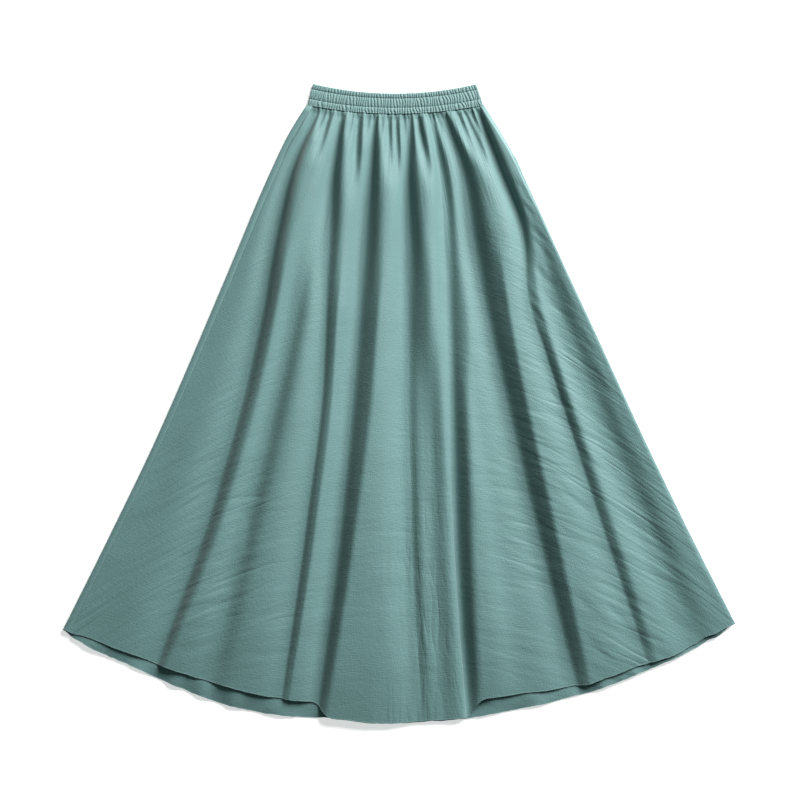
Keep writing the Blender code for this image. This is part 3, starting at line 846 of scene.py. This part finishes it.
# The thread is paler than the cloth, and the fine bump of its twist breaks up its shine
thread, thread_tree, thread_shader = new_material("polyester sewing thread")
twist = noise(thread_tree, add_node(thread_tree, "ShaderNodeTexCoord").outputs["Object"], 900.0, detail=2.0)
twist_bump = add_node(thread_tree, "ShaderNodeBump", {"Height": twist, "Distance": 0.0003})
thread_tree.links.new(twist_bump.outputs[0], thread_shader.inputs["Normal"])
set_inputs(thread_shader, {"Base Color": linear_colour(THREAD_COLOUR), "Roughness": 0.6})
print("finishes:", skirt_crepe.name, "|", band_crepe.name, "|", thread.name)

# %% [markdown]
# ## The waistband
#
# The band is a strip folded over wide elastic and sewn in two rows, so it has three channels.
# When the elastic draws in, the cloth stands in ribs about 4 mm apart across each channel, and
# the sewing pinches them. Python lays out the soft shape of the channels and numbers the ribs
# along the band; Geometry Nodes then raise the ribs, because they all follow one rule: cells of
# uneven width along that number, with a narrow trough wherever two cells meet.

# %% Sizes of the band
BAND_RADIUS = 254.0
BAND_RISE = 14.0
BAND_TOP_ANGLES = (-27.5, 27.0)
BAND_SEAM_ANGLES = (-26.0, 26.05)
STITCH_LINES = (0.0, 0.265, 0.715, 1.0)
RIBS = 61
BAND_FLOOR = 3.0
STITCH_LEVEL = 6.0
CHANNEL_PUFF = 1.4
SEAM_PUFF = 0.85
BAND_COLUMNS = 612
CHANNEL_ROWS = 16


def band_point(across, place, height):
    left = BAND_TOP_ANGLES[0] + (BAND_SEAM_ANGLES[0] - BAND_TOP_ANGLES[0]) * place
    right = BAND_TOP_ANGLES[1] + (BAND_SEAM_ANGLES[1] - BAND_TOP_ANGLES[1]) * place
    angle = left + (right - left) * (across + 1) / 2
    top = BAND_RADIUS + BAND_RISE * (angle / RISE_ANGLE) ** 2
    radius = top + (seam_radius(angle) - top) * place
    return fan_point(angle, radius, height)


# %% Lay out the channels of the front of the band
def channel_rows():
    """Places down the band, with the puff at each: 1 in the middle of a channel."""
    rows = [(0.0, 0.0, 0.0), (0.004, 0.05, 0.35), (0.014, 0.15, 0.62), (0.03, 0.3, 0.82)]
    for start, end in zip(STITCH_LINES, STITCH_LINES[1:]):
        for step in range(CHANNEL_ROWS):
            part = step / CHANNEL_ROWS
            place = start + (end - start) * (part - 0.6 * np.sin(2 * np.pi * part) / (2 * np.pi))
            puff = float(np.sin(np.pi * part) ** 0.7)
            if start == STITCH_LINES[2] and part > 0.5:
                puff = max(puff, SEAM_PUFF)
            if place > 0.045:
                rows.append((place, puff, 1.0))
    rows.append((1.0, SEAM_PUFF, 1.0))
    return rows


END_ROUNDING = 0.018
across = np.linspace(-1, 1, BAND_COLUMNS)
end_round = np.sqrt(1 - np.clip((np.abs(across) - (1 - END_ROUNDING)) / END_ROUNDING, 0, 1) ** 2)
end_fade = smoothstep((0.992 - np.abs(across)) / 0.03)
band_grid, ribs, pinches, places = [], [], [], []
for place, puff, rise in channel_rows():
    lean = 3.2 * (place - 0.5) * smoothstep((-across - 0.80) / 0.2)
    height = BAND_FLOOR + (STITCH_LEVEL + CHANNEL_PUFF * puff - BAND_FLOOR) * end_round * rise
    band_grid.append(band_point(across, place, height))
    ribs.append((across + 1) / 2 * RIBS + lean + 0.25 * np.sin(across * 23 + 5 * place))
    pinches.append((0.30 + 0.70 * puff) * end_fade)
    places.append(np.full_like(across, place))
band_grid, ribs, pinches, places = (np.array(rows) for rows in (band_grid, ribs, pinches, places))
band_flat = cloth_object("band_flat", band_grid, {"cloth": (ribs * 4.2, places * 30)},
                         {"rib": ribs, "pinch": pinches, "place": places})
print("band grid:", band_grid.shape[:2], "points for", RIBS, "ribs")


# %% Raise the ribs with Geometry Nodes
def rib_tree():
    tree, start, end = geometry_tree("waistband ribs", Material=("Cloth",), Float=(
        "Rib depth", "Trough width", "Unevenness", "Sway", "Seed"))
    rib, pinch, place = (
        add_node(tree, "GeometryNodeInputNamedAttribute", {"Name": name}, data_type="FLOAT").outputs[0]
        for name in ("rib", "pinch", "place"))
    spot = add_node(tree, "ShaderNodeCombineXYZ", {0: maths(tree, "MULTIPLY", rib, 0.45),
                                                   1: maths(tree, "MULTIPLY", place, 3.2),
                                                   2: start["Seed"]}).outputs[0]
    swaying = maths(tree, "SUBTRACT", noise(tree, spot, 1.0), 0.5)
    number = maths(tree, "MULTIPLY_ADD", swaying, start["Sway"], rib)
    uneven_cells = {"W": number, "Scale": 1.0, "Randomness": start["Unevenness"]}
    cells = add_node(tree, "ShaderNodeTexVoronoi", uneven_cells, voronoi_dimensions="1D",
                     feature="DISTANCE_TO_EDGE")
    from_trough = maths(tree, "DIVIDE", cells.outputs["Distance"], start["Trough width"])
    rounded = maths(tree, "POWER", maths(tree, "MINIMUM", from_trough, 1.0), 0.75)
    raised = maths(tree, "SUBTRACT", rounded, 0.7)
    for factor in (start["Rib depth"], pinch, maths(tree, "ADD", noise(tree, spot, 2.2, detail=2.0), 0.5)):
        raised = maths(tree, "MULTIPLY", raised, factor)
    normal = add_node(tree, "GeometryNodeInputNormal").outputs[0]
    push = add_node(tree, "ShaderNodeVectorMath", {0: normal, "Scale": raised}, operation="SCALE").outputs[0]
    moved = add_node(tree, "GeometryNodeSetPosition", {"Geometry": start["Geometry"], "Offset": push})
    return end_tree(tree, moved.outputs[0], start["Cloth"], end)


band_front = grown("waistband_front_cloth", band_flat, rib_tree(), {
    "Rib depth": 1.2 * MM,
    "Trough width": 0.40,
    "Unevenness": 0.75,
    "Sway": 1.1,
    "Seed": 4.0,
    "Cloth": band_crepe,
})


# %% Close the band's inside
def close_level(piece, level):
    """Drop the open border of a piece to a level plane and close it there."""
    work = bmesh.new()
    work.from_mesh(piece.data)
    border = [edge for edge in work.edges if edge.is_boundary]
    dropped = bmesh.ops.extrude_edge_only(work, edges=border)["geom"]
    for vertex in dropped:
        if isinstance(vertex, bmesh.types.BMVert):
            vertex.co.z = level * MM
    rim = [edge for edge in work.edges if edge.is_boundary]
    filled = bmesh.ops.holes_fill(work, edges=rim, sides=0)["faces"]
    bmesh.ops.triangulate(work, faces=filled)
    bmesh.ops.recalc_face_normals(work, faces=work.faces)
    work.to_mesh(piece.data)
    work.free()


close_level(band_front, BAND_FLOOR)
print("front of the band:", len(band_front.data.polygons), "faces")

# %% [markdown]
# The back of the band lies on the table. Its underside is pressed level, with the same ribs as
# shallow grooves, so that it looks right if the skirt is turned over.

# %% Build the back of the band
BACK_BAND_COLUMNS = 366
BACK_BAND_TOP = 2.7
BACK_BAND_END = 0.992
BACK_BAND_ROWS = (0.025, 0.035, 0.06, 0.11, 0.17, 0.22, 0.25, 0.265, 0.28, 0.34, 0.42, 0.5, 0.58, 0.65,
                  0.70, 0.715, 0.73, 0.78, 0.84, 0.9, 0.95, 0.98, 0.992, 1.0)
back_across = np.linspace(BACK_BAND_END, -BACK_BAND_END, BACK_BAND_COLUMNS)
trough = np.cos(np.pi * ((back_across + 1) / 2 * RIBS)) ** 16
end_rim = np.clip((BACK_BAND_END - np.abs(back_across)) / 0.012, 0, 1)
back_grid = []
for place in BACK_BAND_ROWS:
    nearest = min(abs(place - line) for line in STITCH_LINES[1:3])
    sewn = np.exp(-((nearest / 0.02) ** 2))
    rim = np.clip(min(place - BACK_BAND_ROWS[0], 1.0 - place) / 0.03, 0, 1)
    lift = 0.5 * trough + 0.45 * sewn + 1.3 * (1 - np.sqrt(rim)) + 1.0 * (1 - np.sqrt(end_rim))
    back_grid.append(band_point(back_across, place, np.minimum(lift, 1.6)))
back_grid = np.array(back_grid)
band_back = cloth_object("waistband_back_cloth", back_grid, {}, {})
close_level(band_back, BACK_BAND_TOP)
band_back.data.materials.append(band_crepe)
print("back of the band:", len(band_back.data.polygons), "faces")

# %% [markdown]
# ## Sewing
#
# Two rows of stitches run along the band, and one at the very edge of each hem, where they
# catch the light like loose threads. A stitch is a short thread that dips into the cloth at
# both ends, so a small flattened bead is enough. Geometry Nodes set one on every few
# millimetres of a line and turn it along the line, which is exactly how the machine works.

# %% A tree that sews
def stitch_tree():
    tree, start, end = geometry_tree("row of stitches", Float=("Pitch", "Stitch length", "Thread"),
                                     Int=("Seed",), Material=("Finish",))
    bead = add_node(tree, "GeometryNodeMeshUVSphere", {"Segments": 6, "Rings": 4, "Radius": 0.5})
    tangent = add_node(tree, "GeometryNodeInputTangent").outputs[0]
    turned = add_node(tree, "FunctionNodeAlignRotationToVector", {"Vector": tangent}, axis="X")
    vary = add_node(tree, "FunctionNodeRandomValue", {2: 0.85, 3: 1.1, "Seed": start["Seed"]})
    long = maths(tree, "MULTIPLY", vary.outputs[1], start["Stitch length"])
    size = add_node(tree, "ShaderNodeCombineXYZ", {0: long, 1: start["Thread"], 2: start["Thread"]})
    sewn = add_node(tree, "GeometryNodeInstanceOnPoints", {
        "Points": even_steps(tree, start, "Pitch"), "Instance": bead.outputs["Mesh"],
        "Rotation": turned.outputs[0], "Scale": size.outputs[0]})
    return end_tree(tree, sewn.outputs[0], start["Finish"], end)


def line_object(name, points):
    """An open line of edges through points given in millimetres."""
    mesh = bpy.data.meshes.new(name)
    edges = [(i, i + 1) for i in range(len(points) - 1)]
    mesh.from_pydata((np.asarray(points) * MM).tolist(), edges, [])
    return new_object(name, mesh)


# %% Sew the band and the hems
sewing = stitch_tree()
STITCH_PITCH = 2.8
STITCH_LENGTH = 2.0
THREAD_WIDTH = 0.45


def sew(name, points):
    return grown(name, line_object(name + "_line", points), sewing, {
        "Pitch": STITCH_PITCH * MM,
        "Stitch length": STITCH_LENGTH * MM,
        "Thread": THREAD_WIDTH * MM,
        "Seed": 7,
        "Finish": thread,
    })


row_across = np.linspace(-0.97, 0.97, 240)
upper_row = sew("band_stitches_upper", band_point(row_across, STITCH_LINES[1], STITCH_LEVEL - 0.25))
lower_row = sew("band_stitches_lower", band_point(row_across, STITCH_LINES[2], STITCH_LEVEL - 0.25))


def hem_line(points, inwards, lift):
    """A line beside the last row of a panel, some way in from it and above it."""
    last = points[-1]
    step = points[-2] - last
    step = step / np.linalg.norm(step, axis=-1, keepdims=True)
    return last + step * inwards + surface_normals(points)[-1] * lift


front_hem_stitches = sew("front_hem_stitches", hem_line(front_points, 1.3, 0.15)[2:top_columns + 4])
back_hem_stitches = sew("back_hem_stitches", hem_line(back_points, 1.3, 0.15)[4:])
stitched = (upper_row, lower_row, front_hem_stitches, back_hem_stitches)
print("stitch faces:", sum(len(piece.data.polygons) for piece in stitched))

# %% [markdown]
# ## Rolled hems
#
# The raw edge of thin crepe is rolled and stitched, which leaves a narrow, slightly uneven
# cord of cloth under the edge. A round profile is run along the hem line, and its thickness
# wavers.

# %% Roll the hems
def roll_tree():
    tree, start, end = geometry_tree("rolled hem", Float=("Radius", "Unevenness", "Step", "Seed"),
                                     Material=("Cloth",))
    place = add_node(tree, "GeometryNodeInputPosition").outputs[0]
    waver = add_node(tree, "ShaderNodeTexNoise", {"Vector": place, "W": start["Seed"], "Scale": 140.0,
                                                  "Detail": 1.0}, noise_dimensions="4D").outputs["Fac"]
    thick = maths(tree, "MULTIPLY_ADD", maths(tree, "SUBTRACT", waver, 0.5), start["Unevenness"], 1.0)
    curve = add_node(tree, "GeometryNodeSetCurveRadius", {"Curve": even_steps(tree, start, "Step"),
                                                          "Radius": thick})
    ring = add_node(tree, "GeometryNodeCurvePrimitiveCircle", {"Resolution": 8, "Radius": start["Radius"]})
    tube = add_node(tree, "GeometryNodeCurveToMesh", {"Curve": curve.outputs[0],
                                                      "Profile Curve": ring.outputs[0], "Fill Caps": True})
    return end_tree(tree, tube.outputs[0], start["Cloth"], end)


rolling = roll_tree()


def roll_hem(name, points):
    return grown(name, line_object(name + "_line", points), rolling, {
        "Radius": 0.42 * MM,
        "Unevenness": 0.9,
        "Step": 2.2 * MM,
        "Seed": 2.0,
        "Cloth": band_crepe,
    })


front_hem = roll_hem("front_hem_roll", hem_line(front_points, 0.4, -0.2)[:top_columns + 8])
back_hem = roll_hem("back_hem_roll", hem_line(back_points, 0.4, -0.5)[6:])
for hem in (front_hem, back_hem):
    hem.data.shade_smooth()
print("hem faces:", len(front_hem.data.polygons), len(back_hem.data.polygons))

# %% [markdown]
# ## Table, light and camera
#
# The picture was taken from straight above, on a bright table, with one broad light at the
# upper right and the pale room filling the shadows. The far corner gets less of it, so the
# lower left of the skirt is darker. The table's top is given a faint glow, painted light that
# keeps the shadows the skirt throws on it pale. The light is slightly warm and the room's fill a
# cool blue-green. The camera is 2.85 m up, and 1.2 m of table fills the frame.

# %% The table
TABLE_LEVEL = -0.0006
table_corners = [(x, y, TABLE_LEVEL) for x, y in ((-6, -6), (6, -6), (6, 6), (-6, 6))]
floor_mesh = bpy.data.meshes.new("table_top")
floor_mesh.from_pydata(table_corners, [], [(0, 1, 2, 3)])
floor = new_object("table_top", floor_mesh)
# Dull and nearly white, so that it takes no shine from the light. Its faint glow is painted light that keeps
# the skirt's shadows on it pale
paper, _, paper_shader = new_material("matte white laminate with painted glow")
set_inputs(paper_shader, {"Base Color": linear_colour("#FCFCFB"), "Roughness": 0.9,
                          "Emission Color": (1.0, 0.985, 0.985, 1.0), "Emission Strength": 0.55})
floor_mesh.materials.append(paper)

# %% The light
FILL = 0.13
FILL_COLOUR = (0.78, 1.0, 0.97, 1.0)
world = bpy.data.worlds.new("pale room")
bpy.context.scene.world = world
world.use_nodes = True
world.node_tree.nodes["Background"].inputs[0].default_value = FILL_COLOUR
world.node_tree.nodes["Background"].inputs[1].default_value = FILL


def soft_box(name, place, target, size, power):
    light = bpy.data.lights.new(name, "AREA")
    light.shape = "DISK"
    light.size = size
    light.energy = power
    light.color = (1.0, 0.975, 0.97)
    lamp = new_object(name, light)
    lamp.location = place
    lamp.rotation_euler = (Vector(target) - Vector(place)).to_track_quat("-Z", "Y").to_euler()


soft_box("window", (2.10, 2.50, 1.96), (0.0, 0.0, 0.0), 2.3, 410)
bpy.context.scene.view_settings.view_transform = "Standard"

# %% The camera
camera_data = bpy.data.cameras.new("camera above")
camera_data.lens = 85
camera_data.sensor_width = 36
camera = new_object("camera above", camera_data)
camera.location = (0.0016, 0.0062, 2.853)
bpy.context.scene.camera = camera
print("camera height:", camera.location.z)

# %% [markdown]
# ## What each piece stands for
#
# Each piece rides on the root body, so that it all moves as one, and the solid of the frame
# that it replaces is hidden. The finish of the record that each piece goes with is listed
# beside it.

# %% Hand the pieces to the frame
pieces = {
    skirt_front: ("skirt_cotton", "skirt_front"),
    skirt_back: ("skirt_cotton", "skirt_back"),
    band_front: ("waistband_cotton", "waistband_front"),
    band_back: ("waistband_cotton", "waistband_back"),
    front_hem: ("skirt_cotton", None),
    back_hem: ("skirt_cotton", None),
    front_hem_stitches: ("skirt_cotton", None),
    back_hem_stitches: ("skirt_cotton", None),
    upper_row: ("waistband_cotton", None),
    lower_row: ("waistband_cotton", None),
}
for piece, (slot, node) in pieces.items():
    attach(piece, "root")
    if node:
        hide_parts(node)
print(len(pieces), "pieces ride on the root")
